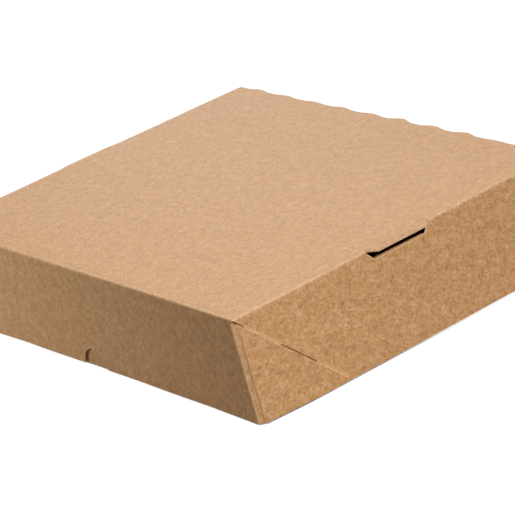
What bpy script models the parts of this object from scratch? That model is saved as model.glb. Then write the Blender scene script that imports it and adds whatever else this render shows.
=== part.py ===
"""Munch box: a shallow takeaway box of brown kraft board, glued up from one die-cut sheet.

The tray has four glued corners. The lid is hinged on the tray's rear wall by a wave-cut fold, has two
glued front corners, and its flaps hang down outside the tray. Every wall is one sheet of board thick,
and two sheets thick where a corner lap is glued behind the side wall.

Frame: metres, +Z up, front towards -Y, origin on the underside of the tray's base, at its middle.
"""

import math

import bmesh
import bpy
from mathutils import Vector

# Driving sizes of the closed box
BOX_WIDTH = 0.280
BOX_DEPTH = 0.198
BOX_HEIGHT = 0.054
BOARD = 0.0005

# Fits between lid and tray
FLAP_GAP = 0.0008
REST_GAP = 0.0003
FLOOR_GAP = 0.0005

# Folds: inner radius of a pressed fold, and of the glued vertical corner
FOLD_INNER_RADIUS = 0.0003
CORNER_RADIUS = 0.0004
FOLD_SEGMENTS = 4

# Glued corners: a lap turned round from the front or rear wall, behind the side wall's web
LAP_REACH = 0.030
LAP_MARGIN = 0.0012
STRIP_WIDTH = 0.0024
STRIP_DEPTH = 0.0004
WEB_CUT_WIDTH = 0.00025
WEB_CREASE_WIDTH = 0.0010
WEB_CREASE_DEPTH = 0.00012
WEB_CUT_SHARES = ((0.035, 0.095), (0.405, 0.690))
WEB_CREASE_SHARES = ((0.11, 0.39), (0.715, 0.955))

# Vent tabs: cut out of the lid's side flaps, left standing level with the top, a little nearer the front
TAB_BASE_WIDTH = 0.0375
TAB_TIP_WIDTH = 0.0300
TAB_REACH = 0.0045
TAB_CORNER = 0.0006
TAB_FORWARD = 0.0020
VENT_DROP = 0.0037
FOLD_MARGIN = 0.0003
RIGHT_TAB_DROOP = math.radians(6)
LEFT_TAB_DROOP = math.radians(16)

# Vent recess in the tray's side walls, behind the tabs' holes
RECESS_WIDTH = 0.046
RECESS_DEPTH = 0.0085
RECESS_SLOPE = 0.0040

# Thumb notch in the lid's front flap, a little left of the middle
NOTCH_WIDTH = 0.0220
NOTCH_HEIGHT = 0.0096
NOTCH_LEFT = 0.0038
NOTCH_SEGMENTS = 28

# Wave-cut hinge fold: crests of the lid's panel stand out behind the fold
SCALLOP_PITCH = 0.0265
SCALLOP_FIRST = 0.0190
SCALLOP_LAST = 0.0145
SCALLOP_WIDTH = 0.0225
SCALLOP_RISE = 0.0019
SCALLOP_SEGMENTS = 14
SCALLOP_CLEARANCE = 0.0004

# Rear ends of the lid's side flaps
FLAP_REAR_GAP = 0.0015
FLAP_REAR_SLOPE = 0.0060

# One overrun serves every cutter
OVERRUN = 0.0030

# Kraft board, linear colour
KRAFT = (0.560, 0.350, 0.196, 1.0)
KRAFT_ROUGHNESS = 0.9

# Places worked out from the sizes
FOLD_RADIUS = FOLD_INNER_RADIUS + BOARD
HALF_WIDTH = BOX_WIDTH / 2
FRONT = -(BOX_DEPTH + SCALLOP_RISE) / 2
REAR = FRONT + BOX_DEPTH
MIDDLE = (FRONT + REAR) / 2
TAB_MIDDLE = MIDDLE - TAB_FORWARD
PANEL_UNDERSIDE = BOX_HEIGHT - BOARD
TRAY_RIM = PANEL_UNDERSIDE - REST_GAP
TRAY_HALF_WIDTH = HALF_WIDTH - 2 * BOARD - FLAP_GAP
TRAY_FRONT = FRONT + BOARD + FLAP_GAP
FOLD_START = HALF_WIDTH - FOLD_RADIUS - FOLD_MARGIN
HINGE_AXIS = Vector((0, REAR - BOARD / 2, BOX_HEIGHT - BOARD / 2))
SIDES = (-1, 1)


def clear_scene():
    for thing in list(bpy.data.objects):
        bpy.data.objects.remove(thing, do_unlink=True)


def kraft_material(name):
    material = bpy.data.materials.new(name)
    material.use_nodes = True
    shader = material.node_tree.nodes["Principled BSDF"]
    shader.inputs["Base Color"].default_value = KRAFT
    shader.inputs["Roughness"].default_value = KRAFT_ROUGHNESS
    shader.inputs["Metallic"].default_value = 0
    return material


def add_object(name, mesh_data):
    """Turns a bmesh into an object of the scene, with its faces pointing out."""
    bmesh.ops.recalc_face_normals(mesh_data, faces=mesh_data.faces)
    mesh = bpy.data.meshes.new(name)
    mesh_data.to_mesh(mesh)
    mesh_data.free()
    thing = bpy.data.objects.new(name, mesh)
    bpy.context.scene.collection.objects.link(thing)
    return thing


def block(name, low, high):
    """A box between two corners."""
    shape = bmesh.new()
    bmesh.ops.create_cube(shape, size=1)
    for vertex in shape.verts:
        for axis in range(3):
            vertex.co[axis] = low[axis] if vertex.co[axis] < 0 else high[axis]
    return add_object(name, shape)


def prism(name, outline, place, start, end):
    """Extrudes a flat outline. place(a, b, h) gives the point of outline point (a, b) at height h."""
    shape = bmesh.new()
    floor = [shape.verts.new(place(a, b, start)) for a, b in outline]
    shape.faces.new(floor)
    grown = bmesh.ops.extrude_face_region(shape, geom=shape.faces[:])
    moved = [item for item in grown["geom"] if isinstance(item, bmesh.types.BMVert)]
    origin = Vector(place(0, 0, start))
    bmesh.ops.translate(shape, verts=moved, vec=Vector(place(0, 0, end)) - origin)
    return add_object(name, shape)


def along_x(y, z, h):
    return (h, y, z)


def along_y(x, z, h):
    return (x, h, z)


def along_z(x, y, h):
    return (x, y, h)


def cut(target, tools):
    """Cuts all the tools out of target at once, applies the result and removes the tools."""
    group = bpy.data.collections.new("tools")
    for tool in tools:
        group.objects.link(tool)
    modifier = target.modifiers.new("cut", "BOOLEAN")
    modifier.operation = "DIFFERENCE"
    modifier.solver = "EXACT"
    modifier.operand_type = "COLLECTION"
    modifier.collection = group
    with bpy.context.temp_override(object=target, active_object=target):
        bpy.ops.object.modifier_apply(modifier=modifier.name)
    for tool in tools:
        bpy.data.objects.remove(tool, do_unlink=True)
    bpy.data.collections.remove(group)


def near(a, b):
    return abs(a - b) < BOARD / 10


def folded_block(name, low, high, panel_z, radius, open_rear):
    """A box whose edges round the panel at panel_z are folded to a radius, apart from an open rear edge."""
    body = block(name, low, high)

    def on_fold(point):
        return near(point.z, panel_z)

    shape = bmesh.new()
    shape.from_mesh(body.data)
    edges = []
    for edge in shape.edges:
        on_panel = all(on_fold(v.co) for v in edge.verts)
        on_rear = all(near(v.co.y, high[1]) for v in edge.verts)
        if on_panel and not (on_rear and open_rear):
            edges.append(edge)
    bmesh.ops.bevel(
        shape, geom=edges, offset=radius, offset_type="OFFSET", segments=FOLD_SEGMENTS,
        profile=0.5, affect="EDGES",
    )
    shape.to_mesh(body.data)
    shape.free()
    return body


class Corner:
    """One glued corner. u runs along the side wall from the corner, v from the panel to the mouth."""

    def __init__(self, side, half_width, wall_y, inward, panel_z, towards_mouth, wall_height):
        self.side = side
        self.half_width = half_width
        self.wall_y = wall_y
        self.inward = inward
        self.panel_z = panel_z
        self.towards_mouth = towards_mouth
        self.wall_height = wall_height

    def place(self, u, v, h):
        """The point at (u, v) of the side wall, h outside its outer face."""
        return (
            self.side * (self.half_width + h),
            self.wall_y + self.inward * u,
            self.panel_z + self.towards_mouth * v,
        )

    def lap(self):
        """The glue lap behind the web, as what it takes away from the hollow inside the box."""
        beyond = self.wall_height + 2 * OVERRUN
        outline = (
            (0, LAP_MARGIN),
            (LAP_REACH, LAP_MARGIN + LAP_REACH),
            (LAP_REACH, beyond),
            (0, beyond),
        )
        return prism("lap", outline, self.place, -2 * BOARD, OVERRUN)

    def strip(self):
        """Bares the lap's rounded fold beside the corner, where the web has been cut back."""
        start = LAP_MARGIN + STRIP_DEPTH + STRIP_WIDTH
        outline = [(OVERRUN, -OVERRUN), (OVERRUN, STRIP_WIDTH), (-STRIP_DEPTH, STRIP_WIDTH)]
        for step in range(FOLD_SEGMENTS + 1):
            angle = math.pi / 2 * step / FOLD_SEGMENTS
            across = CORNER_RADIUS * (math.cos(angle) - 1) - STRIP_DEPTH
            outline.append((across, CORNER_RADIUS * (1 - math.sin(angle))))
        outline.append((-STRIP_DEPTH - CORNER_RADIUS, -OVERRUN))

        def place(h, u, v):
            return self.place(u, v, h)

        return prism("strip", outline, place, start, self.wall_height + OVERRUN)

    def diagonal(self, shares, width, inner, outer):
        """A bar along the diagonal fold, from one share of its length to another."""
        start, end = (share * self.wall_height for share in shares)
        half = width / 2 / math.sqrt(2)
        outline = (
            (start - half, start + half),
            (start + half, start - half),
            (end + half, end - half),
            (end - half, end + half),
        )
        return prism("diagonal", outline, self.place, inner, outer)

    def waste(self):
        """Everything that is cut out of the shell at this corner."""
        creases = [
            self.diagonal(shares, WEB_CREASE_WIDTH, -WEB_CREASE_DEPTH, OVERRUN)
            for shares in WEB_CREASE_SHARES
        ]
        cuts = [
            self.diagonal(shares, WEB_CUT_WIDTH, -BOARD - FLAP_GAP / 2, OVERRUN)
            for shares in WEB_CUT_SHARES
        ]
        return [self.strip()] + creases + cuts


def scallop_centres():
    """Crests at a fixed pitch from the left end, as many as the width has room for."""
    count = int((BOX_WIDTH - SCALLOP_FIRST - SCALLOP_LAST) / SCALLOP_PITCH) + 1
    return [SCALLOP_FIRST - HALF_WIDTH + index * SCALLOP_PITCH for index in range(count)]


def crest_points(centre, width, rise, segments):
    """Points of one soft crest that stands on a straight line, from its left end to its right end."""
    points = []
    for index in range(segments + 1):
        share = index / segments
        points.append((centre + width * (share - 0.5), rise * math.sin(math.pi * share) ** 2))
    return points


def arc_points(width, rise, segments):
    """Points of an arc that stands on a straight line, from its left end to its right end."""
    half = width / 2
    radius = (half * half + rise * rise) / (2 * rise)
    spread = math.asin(half / radius)
    points = []
    for index in range(segments + 1):
        angle = spread * (2 * index / segments - 1)
        points.append((radius * math.sin(angle), radius * (math.cos(angle) - math.cos(spread))))
    return points


def wave_waste():
    """What the wave cut removes from the lid's panel behind the hinge line, as one cutter."""
    outer = HALF_WIDTH + OVERRUN
    beyond = REAR + SCALLOP_RISE + OVERRUN
    flap_end = REAR - FLAP_REAR_GAP
    line = [(-outer, beyond), (-outer, flap_end), (-FOLD_START, flap_end), (-FOLD_START, REAR)]
    for centre in scallop_centres():
        crest = crest_points(centre, SCALLOP_WIDTH, SCALLOP_RISE, SCALLOP_SEGMENTS)
        line += [(x, REAR + rise) for x, rise in crest]
    line += [(FOLD_START, REAR), (FOLD_START, flap_end), (outer, flap_end), (outer, beyond)]
    return prism("wave", line, along_z, FLOOR_GAP - OVERRUN, BOX_HEIGHT + OVERRUN)


def rim_waste():
    """What the same cut leaves open in the top of the tray's rear wall, one dip under each crest."""
    width = SCALLOP_WIDTH + 2 * SCALLOP_CLEARANCE
    depth = SCALLOP_RISE + SCALLOP_CLEARANCE
    top = TRAY_RIM + OVERRUN
    cutters = []
    for centre in scallop_centres():
        crest = crest_points(centre, width, depth, SCALLOP_SEGMENTS)
        line = [(x, TRAY_RIM - drop) for x, drop in crest]
        line += [(centre + width / 2, top), (centre - width / 2, top)]
        cutters.append(prism("recess", line, along_y, REAR - BOARD - OVERRUN, REAR + OVERRUN))
    return cutters


def tab_hole(side):
    """The hole that a tab leaves in the fold and the side flap."""
    wide = TAB_BASE_WIDTH / 2
    narrow = TAB_TIP_WIDTH / 2
    top = BOX_HEIGHT + OVERRUN
    shoulder = BOX_HEIGHT - FOLD_RADIUS - FOLD_MARGIN
    bottom = shoulder - VENT_DROP
    outline = (
        (-wide, top), (-wide, shoulder), (-narrow, bottom), (narrow, bottom), (wide, shoulder), (wide, top),
    )

    def place(y, z, h):
        return (side * h, TAB_MIDDLE + y, z)

    return prism("hole", outline, place, FOLD_START, HALF_WIDTH + OVERRUN)


def grow_tab(lid, side, droop):
    """Grows a vent tab out of the panel's edge in the hole, level or drooping a little."""
    shape = bmesh.new()
    shape.from_mesh(lid.data)
    root = side * FOLD_START
    face = next(
        f for f in shape.faces
        if all(near(v.co.x, root) for v in f.verts) and near(f.calc_center_median().y, TAB_MIDDLE)
    )
    reach = HALF_WIDTH + TAB_REACH - FOLD_START
    rows = (
        (reach - TAB_CORNER, TAB_TIP_WIDTH / 2),
        (reach, TAB_TIP_WIDTH / 2 - TAB_CORNER),
    )
    for out, half in rows:
        face = bmesh.ops.extrude_discrete_faces(shape, faces=[face])["faces"][0]
        for vertex in face.verts:
            upper = vertex.co.z > (BOX_HEIGHT + PANEL_UNDERSIDE) / 2 - droop_at(droop, vertex.co.x - root)
            level = BOX_HEIGHT if upper else PANEL_UNDERSIDE
            vertex.co.x = root + side * out
            vertex.co.y = TAB_MIDDLE + math.copysign(half, vertex.co.y - TAB_MIDDLE)
            vertex.co.z = level - droop_at(droop, out)
    shape.normal_update()
    shape.to_mesh(lid.data)
    shape.free()


def droop_at(droop, out):
    return abs(out) * math.tan(droop)


def thumb_notch():
    """A half-moon in the bottom edge of the front flap."""
    arc = arc_points(NOTCH_WIDTH, NOTCH_HEIGHT, NOTCH_SEGMENTS)
    line = [(x - NOTCH_LEFT, FLOOR_GAP + rise) for x, rise in arc]
    below = FLOOR_GAP - OVERRUN
    line += [(NOTCH_WIDTH / 2 - NOTCH_LEFT, below), (-NOTCH_WIDTH / 2 - NOTCH_LEFT, below)]
    return prism("notch", line, along_y, FRONT - OVERRUN, FRONT + BOARD + FLAP_GAP / 2)


def flap_rear_waste():
    """Slopes the rear ends of the side flaps down to the mouth."""
    end = REAR - FLAP_REAR_GAP
    outline = (
        (end, PANEL_UNDERSIDE - FOLD_RADIUS),
        (end - FLAP_REAR_SLOPE, FLOOR_GAP - OVERRUN),
        (end + OVERRUN, FLOOR_GAP - OVERRUN),
        (end + OVERRUN, PANEL_UNDERSIDE - FOLD_RADIUS),
    )
    reach = HALF_WIDTH + OVERRUN
    return prism("rear", outline, along_x, -reach, reach)


def make_lid():
    """Top panel, front flap with thumb notch, two side flaps with vent tabs."""
    back = REAR + SCALLOP_RISE
    corners = [
        Corner(side, HALF_WIDTH, FRONT, 1, BOX_HEIGHT, -1, BOX_HEIGHT - FLOOR_GAP) for side in SIDES
    ]
    lid = folded_block(
        "lid", (-HALF_WIDTH, FRONT, FLOOR_GAP), (HALF_WIDTH, back, BOX_HEIGHT),
        BOX_HEIGHT, FOLD_RADIUS, open_rear=True,
    )
    inside = folded_block(
        "inside",
        (BOARD - HALF_WIDTH, FRONT + BOARD, FLOOR_GAP - OVERRUN),
        (HALF_WIDTH - BOARD, back + OVERRUN, PANEL_UNDERSIDE),
        PANEL_UNDERSIDE, FOLD_INNER_RADIUS, open_rear=True,
    )
    cut(inside, [corner.lap() for corner in corners])
    waste = [inside, wave_waste(), flap_rear_waste(), thumb_notch()]
    waste += [tab_hole(side) for side in SIDES]
    for corner in corners:
        waste += corner.waste()
    cut(lid, waste)
    grow_tab(lid, 1, RIGHT_TAB_DROOP)
    grow_tab(lid, -1, LEFT_TAB_DROOP)
    return lid


def vent_recess():
    """A sloped-sided recess across both side walls' rims, behind the tabs' holes."""
    wide = RECESS_WIDTH / 2
    narrow = wide - RECESS_SLOPE
    floor = TRAY_RIM - RECESS_DEPTH
    top = TRAY_RIM + OVERRUN
    points = ((-wide, top), (-wide, TRAY_RIM), (-narrow, floor), (narrow, floor), (wide, TRAY_RIM), (wide, top))
    outline = [(TAB_MIDDLE + y, z) for y, z in points]
    reach = TRAY_HALF_WIDTH + OVERRUN
    return prism("vents", outline, along_x, -reach, reach)


def make_tray():
    """Base and four walls, with a lap glued behind each end of each side wall."""
    corners = [
        Corner(side, TRAY_HALF_WIDTH, wall_y, inward, 0, 1, TRAY_RIM)
        for side in SIDES for wall_y, inward in ((TRAY_FRONT, 1), (REAR, -1))
    ]
    tray = folded_block(
        "tray", (-TRAY_HALF_WIDTH, TRAY_FRONT, 0), (TRAY_HALF_WIDTH, REAR, TRAY_RIM),
        0, FOLD_RADIUS, open_rear=False,
    )
    inside = folded_block(
        "inside",
        (BOARD - TRAY_HALF_WIDTH, TRAY_FRONT + BOARD, BOARD),
        (TRAY_HALF_WIDTH - BOARD, REAR - BOARD, TRAY_RIM + OVERRUN),
        BOARD, FOLD_INNER_RADIUS, open_rear=False,
    )
    cut(inside, [corner.lap() for corner in corners])
    waste = [inside, vent_recess()] + rim_waste()
    for corner in corners:
        waste += corner.waste()
    cut(tray, waste)
    return tray


def move_origin(thing, point):
    """Puts an object's origin on its joint's axis and leaves its shape in place."""
    for vertex in thing.data.vertices:
        vertex.co -= point
    thing.location = point


def build():
    clear_scene()
    tray = make_tray()
    lid = make_lid()
    move_origin(lid, HINGE_AXIS)
    for thing in (tray, lid):
        thing.data.materials.clear()
        thing.data.materials.append(kraft_material(thing.name + "_board"))
    lid.parent = tray


build()
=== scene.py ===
# %% [markdown]
# # A munch box of brown kraft board
# The object is a shallow takeaway box: a tray, and a lid that is hinged to it by a wave-cut fold. One sheet
# of board is die-cut, creased and glued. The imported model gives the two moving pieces, tray and lid. This
# lesson makes each again as a thin folded sheet, with real board edges, and then gives it its paper.

# %% Load the frame
import math

import bmesh
import bpy
from mathutils import Matrix, Vector


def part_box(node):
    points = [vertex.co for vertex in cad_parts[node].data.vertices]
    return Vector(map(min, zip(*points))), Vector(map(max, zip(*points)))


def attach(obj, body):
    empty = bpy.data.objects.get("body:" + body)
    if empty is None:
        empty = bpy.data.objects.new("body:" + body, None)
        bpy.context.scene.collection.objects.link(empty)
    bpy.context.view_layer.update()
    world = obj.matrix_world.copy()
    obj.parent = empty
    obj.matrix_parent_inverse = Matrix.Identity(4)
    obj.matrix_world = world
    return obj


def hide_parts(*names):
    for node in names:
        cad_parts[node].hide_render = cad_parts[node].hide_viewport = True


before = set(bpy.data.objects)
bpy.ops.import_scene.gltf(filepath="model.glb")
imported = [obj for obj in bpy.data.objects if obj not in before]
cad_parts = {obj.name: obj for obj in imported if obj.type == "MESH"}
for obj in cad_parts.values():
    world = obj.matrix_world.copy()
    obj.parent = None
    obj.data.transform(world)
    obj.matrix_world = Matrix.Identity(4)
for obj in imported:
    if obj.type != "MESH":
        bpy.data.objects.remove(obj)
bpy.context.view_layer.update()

# %% [markdown]
# ## Sizes
# A box maker works from a few numbers: the board's thickness, the outside of the lid, and the radius that
# a crease gives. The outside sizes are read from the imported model, so the sheets land where the solids are.
# FOLD is the outer radius of a fold, CORNER_FOLD that of the laps' folds, and CREASE_SET is how far the
# laps' folds stand back from the corner.

# %% Sizes of the board and its folds
MM = 0.001
BOARD = 0.5 * MM
FOLD = 0.8 * MM
CORNER_FOLD = 0.9 * MM
GLUE = 0.05 * MM
FOLD_STEPS = 6
CELL = 5 * MM

lid_low, lid_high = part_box("lid")
tray_low, tray_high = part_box("tray")
TAB_REACH = 4.5 * MM
TAB_FORWARD = 2 * MM
HALF = lid_high.x - TAB_REACH
FRONT = lid_low.y
REAR = tray_high.y
TOP = lid_high.z
MOUTH = lid_low.z
TAB_MIDDLE = (FRONT + REAR) / 2 - TAB_FORWARD
TAB_ROOT = 37.5 * MM
CREASE_SET = 1.9 * MM
TRAY_HALF = tray_high.x
TRAY_FRONT = tray_low.y
RIM = tray_high.z
CREST = lid_high.y - REAR
print("lid half width", round(HALF, 5), "front", round(FRONT, 5), "rear", round(REAR, 5), "top", round(TOP, 5))

# %% [markdown]
# ## The board's finishes
# Brown kraft board is unbleached fibre: thousands of pale and dark threads pressed flat, with clouds where
# the pulp lay thicker, and a few specks of bark. The outer face is machine-smooth, the inner face is paler
# and flatter, and the cut edge shows the pale middle of the board. A printed texture would repeat, so the
# paper is mixed from layers of noise, each at the size of one thing that the eye sees. A few helpers add a
# shader node and fill its inputs, so that a finish reads as a recipe.

# %% Add a node, mix and map
def feed(owner, value, socket):
    """Links a socket's output into an input, or sets a plain value there."""
    if isinstance(value, bpy.types.NodeSocket):
        owner.node_tree.links.new(value, socket)
    else:
        socket.default_value = value


def fill_in(owner, node, **inputs):
    """Feeds a node's inputs by name. An underscore stands for a space."""
    for name, value in inputs.items():
        feed(owner, value, node.inputs[name.replace("_", " ")])
    return node


def add_node(owner, kind, **inputs):
    return fill_in(owner, owner.node_tree.nodes.new("ShaderNode" + kind), **inputs)


def map_to(finish, value, start, end, low, high):
    """Maps start..end to low..high, clamped."""
    mapped = add_node(finish, "MapRange", Value=value, From_Min=start, From_Max=end, To_Min=low, To_Max=high)
    return mapped.outputs["Result"]


def combine(finish, operation, values):
    """Adds, multiplies or compares sockets and numbers, one after another."""
    total = values[0]
    for value in values[1:]:
        step = add_node(finish, "Math")
        step.operation = operation
        feed(finish, total, step.inputs[0])
        feed(finish, value, step.inputs[1])
        total = step.outputs[0]
    return total


def blend_colour(finish, share, first, second, blend="MIX"):
    """Mixes two colours, each a socket or a tone, by a share that is a socket or a number."""
    mix = add_node(finish, "Mix")
    mix.data_type = "RGBA"
    mix.blend_type = blend
    feed(finish, share, mix.inputs["Factor"])
    for socket, colour in ((mix.inputs[6], first), (mix.inputs[7], second)):
        feed(finish, colour + (1,) if isinstance(colour, tuple) else colour, socket)
    return mix.outputs[2]


def colour_by(finish, value, stops):
    """Colours a value by stops, each a place from 0 to 1 and the tone there."""
    ramp = add_node(finish, "ValToRGB", Fac=value)
    stages = ramp.color_ramp.elements
    stages[0].position, stages[1].position = stops[0][0], stops[-1][0]
    for place, _ in stops[1:-1]:
        stages.new(place)
    for stage, (_, tone) in zip(stages, stops):
        stage.color = tone + (1,)
    return ramp.outputs["Color"]


def new_finish(name):
    finish = bpy.data.materials.new(name)
    finish.use_nodes = True
    return finish


# %% [markdown]
# ## Noise on the flat sheet
# Fibres bend with the sheet, while a pattern in space would be cut off at each fold. So every layer of noise
# lies on the flat sheet. Threads are the same noise, turned and drawn out.

# %% Noise that follows the sheet
def sheet_place(finish):
    """The flat sheet's own place in millimetres."""
    sheet = add_node(finish, "UVMap")
    sheet.uv_map = "sheet"
    return add_node(finish, "Mapping", Vector=sheet.outputs["UV"], Scale=(1000, 1000, 1000)).outputs["Vector"]


def add_layer(finish, place, scale, turn=0.0, stretch=(1, 1), detail=3.0, roughness=0.6, distortion=0.0):
    """A noise pattern on the flat sheet, its scale in spots per millimetre. Gives its output socket."""
    turned_sheet = add_node(finish, "Mapping", Vector=place, Rotation=(0, 0, turn)).outputs["Vector"]
    drawn_out = add_node(finish, "Mapping", Vector=turned_sheet, Scale=(stretch[0], stretch[1], 1))
    noise = add_node(finish, "TexNoise", Vector=drawn_out.outputs["Vector"], Scale=scale, Detail=detail,
                     Roughness=roughness, Distortion=distortion)
    noise.noise_dimensions = "2D"
    return noise.outputs["Fac"]

# %% [markdown]
# ## Worn folds, with a painted highlight
# A crease breaks the hard outer skin of the board, so every fold is a little paler than the faces beside
# it. The band is also a painted highlight, standing in for the light that the round of a fold catches.
# Worn edges could be painted by hand. Here the shader knows where the folds lie on the flat sheet and
# lightens a narrow band there, but for the stretch beside a vent, where the flap isn't folded.

# %% How near a fold lies
FOLD_CORE, FOLD_REACH = 0.25, 1.5
FAR_OFF = 10.0
PANEL_SHARE = 0.6


def gap_to(finish, value, line=0.0):
    """How far a value lies from a line, on either side of it."""
    moved = combine(finish, "SUBTRACT", [value, line]) if line else value
    return combine(finish, "ABSOLUTE", [moved, 0.0])


def sheet_axes(finish, place):
    """Across the flat sheet, counted outwards from its middle, and along it."""
    split = add_node(finish, "SeparateXYZ", Vector=place)
    return gap_to(finish, split.outputs["X"]), split.outputs["Y"]


def near_folds(finish, place, side_fold, front_fold, rear_fold, vent):
    """1 on a fold line of the flat sheet, fading to 0 a little beside it. Sizes are in millimetres."""
    across, along = sheet_axes(finish, place)
    gaps = [gap_to(finish, across, side_fold)]
    gaps += [gap_to(finish, along, line) for line in (front_fold, rear_fold)]
    on_panel = map_to(finish, along, front_fold - 1, front_fold, 0.0, FAR_OFF)
    gaps.append(combine(finish, "ADD", [gap_to(finish, across, side_fold - CREASE_SET / MM), on_panel]))
    near = map_to(finish, combine(finish, "MINIMUM", gaps), FOLD_CORE, FOLD_REACH, 1.0, 0.0)
    middle, half = vent
    beyond_vent = map_to(finish, gap_to(finish, along, middle), half, half + 1, 0.0, 1.0)
    return combine(finish, "MULTIPLY", [near, beyond_vent])


def on_flaps(finish, place, side_fold, front_fold):
    """PANEL_SHARE on the flat panel, where nobody creased or gripped the sheet, rising to 1 on the flaps."""
    across, along = sheet_axes(finish, place)
    beside = map_to(finish, across, side_fold - 1, side_fold + 1, PANEL_SHARE, 1.0)
    before = map_to(finish, along, front_fold - 1, front_fold + 1, 1.0, PANEL_SHARE)
    return combine(finish, "MAXIMUM", [beside, before])

# %% [markdown]
# ## Kraft paper
# Seen close, the paper is clouds, then a mottle of fibre bundles, a fine stipple and crossing threads, a few
# dark specks of bark, and a tint that wanders a little from warm to cool. Spots are counted per millimetre.
# A noise rarely strays far from a half, so each layer uses its WIDE, USUAL or NARROW range of values only.
# The fibres also stand out of the surface, so the same layers drive a shallow bump.

# %% Sizes and tones of the fibres
WIDE, USUAL, NARROW = (0.25, 0.75), (0.3, 0.7), (0.35, 0.65)
CLOUD_SPOTS, MOTTLE_SPOTS, STIPPLE_SPOTS, TINT_SPOTS = 0.07, 0.22, 0.62, 0.1
CLOUDS, MOTTLE, STIPPLE, THREAD = 0.04, 0.18, 0.18, 0.1
THREAD_LAYERS = ((0.5, 0.46), (-0.8, 0.53), (1.9, 0.5))
THREAD_STRETCH = (0.55, 1.7)
WARM, COOL = (1.01, 0.995, 0.98), (0.99, 1.005, 1.02)
# The fold band's strength and tone: pale worn fibre and a painted highlight.
WORN_SHEEN = (0.2, 0.55)
WORN_SHEEN_TONE = (0.82, 0.56, 0.35)
SPECK_CELLS, SPECK_SIZE, SPECK_DEPTH = 0.06, (0.016, 0.03), 0.6
SPECK_PATCHES, SPECK_FROM = 0.2, (0.52, 0.6)
SPECK_TONE = (0.10, 0.055, 0.03)
RELIEF = 0.3 * MM
PAPER_SHINE = 0.2


# %% Grain and bark
def both_ways(finish, noise, span, strength):
    """Spreads a noise's span of values as far below 0 as above it."""
    return map_to(finish, noise, *span, -strength, strength)


def paper_grain(finish, place, lively):
    """The clouds, and a list of the fibres: mottle, stipple and threads."""
    clouds = both_ways(finish, add_layer(finish, place, CLOUD_SPOTS, detail=2.0), USUAL, CLOUDS * lively)
    mottle = both_ways(finish, add_layer(finish, place, MOTTLE_SPOTS), WIDE, MOTTLE * lively)
    stipple = add_layer(finish, place, STIPPLE_SPOTS, detail=2.0, roughness=0.55)
    fibres = [mottle, both_ways(finish, stipple, WIDE, STIPPLE * lively)]
    for turn, spots in THREAD_LAYERS:
        thread = add_layer(finish, place, spots, turn, THREAD_STRETCH, detail=1.0, distortion=0.8)
        fibres.append(both_ways(finish, thread, USUAL, THREAD * lively))
    return clouds, fibres


def bark_specks(finish, place):
    """The share of bark: small dots in the cells of a Voronoi pattern, in some patches only."""
    cells = add_node(finish, "TexVoronoi", Vector=place, Scale=SPECK_CELLS)
    cells.voronoi_dimensions = "2D"
    dots = map_to(finish, cells.outputs["Distance"], *SPECK_SIZE, SPECK_DEPTH, 0.0)
    patches = map_to(finish, add_layer(finish, place, SPECK_PATCHES), *SPECK_FROM, 0.0, 1.0)
    return combine(finish, "MULTIPLY", [dots, patches])


# %% One kraft finish
def make_kraft(name, colours, roughness, lively, folds):
    """Kraft paper. colours are its dark, middle and pale tones; lively scales the grain."""
    finish = new_finish(name)
    place = sheet_place(finish)
    clouds, fibres = paper_grain(finish, place, lively)
    grain = combine(finish, "ADD", [clouds] + fibres)
    share = on_flaps(finish, place, *folds[:2])
    tone = combine(finish, "ADD", [combine(finish, "MULTIPLY", [grain, share]), 0.5])
    paper = colour_by(finish, tone, tuple(zip((0.0, 0.5, 1.0), colours)))
    wander = map_to(finish, add_layer(finish, place, TINT_SPOTS, detail=2.0), *NARROW, 0.0, 1.0)
    tinted = blend_colour(finish, 1.0, paper, blend_colour(finish, wander, WARM, COOL), "MULTIPLY")
    streaks = map_to(finish, fibres[1], -STIPPLE, STIPPLE, *WORN_SHEEN)
    # Pale band along the folds: wear, and a painted highlight.
    worn_sheen = combine(finish, "MULTIPLY", [near_folds(finish, place, *folds), streaks])
    paled = blend_colour(finish, worn_sheen, tinted, WORN_SHEEN_TONE)
    specked = blend_colour(finish, bark_specks(finish, place), paled, SPECK_TONE)
    bump = add_node(finish, "Bump", Strength=1.0, Distance=RELIEF, Height=combine(finish, "ADD", fibres))
    fill_in(finish, finish.node_tree.nodes["Principled BSDF"], Base_Color=specked, Roughness=roughness,
            Specular_IOR_Level=PAPER_SHINE, Normal=bump.outputs["Normal"])
    print(name, len(finish.node_tree.nodes), "nodes")
    return finish


# %% [markdown]
# ## Three papers
# The lid and the tray are folded in different places, so each outer face has its own kraft with its own fold
# lines. The inner face, which nobody sees in the closed box, is paler and quieter. The lid's sheet has no
# rear fold and the tray's no vent, so those two are put off the sheet.

# %% Outer and inner kraft
KRAFT_TONES = ((0.36, 0.175, 0.065), (0.56, 0.296, 0.128), (0.74, 0.44, 0.23))
INNER_TONES = ((0.42, 0.25, 0.13), (0.60, 0.37, 0.20), (0.76, 0.50, 0.30))
NO_REAR_FOLD = REAR + 1
NO_VENT = -10 * MM


def fold_lines(half, front, rear, vent_width):
    """Where the side, front and rear folds lie on the flat sheet, and the vent, all in millimetres."""
    bend = FOLD * (math.pi / 4 - 1)
    return (half + bend) / MM, (front - bend) / MM, (rear + bend) / MM, (TAB_MIDDLE / MM, vent_width / MM / 2)


lid_folds = fold_lines(HALF, FRONT, NO_REAR_FOLD, TAB_ROOT)
tray_folds = fold_lines(TRAY_HALF, TRAY_FRONT, REAR, NO_VENT)
lid_outer = make_kraft("lid_outer", KRAFT_TONES, 0.6, 1.0, lid_folds)
tray_outer = make_kraft("tray_outer", KRAFT_TONES, 0.6, 1.0, tray_folds)
kraft_inner = make_kraft("kraft_inner", INNER_TONES, 0.75, 0.7, tray_folds)

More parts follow.
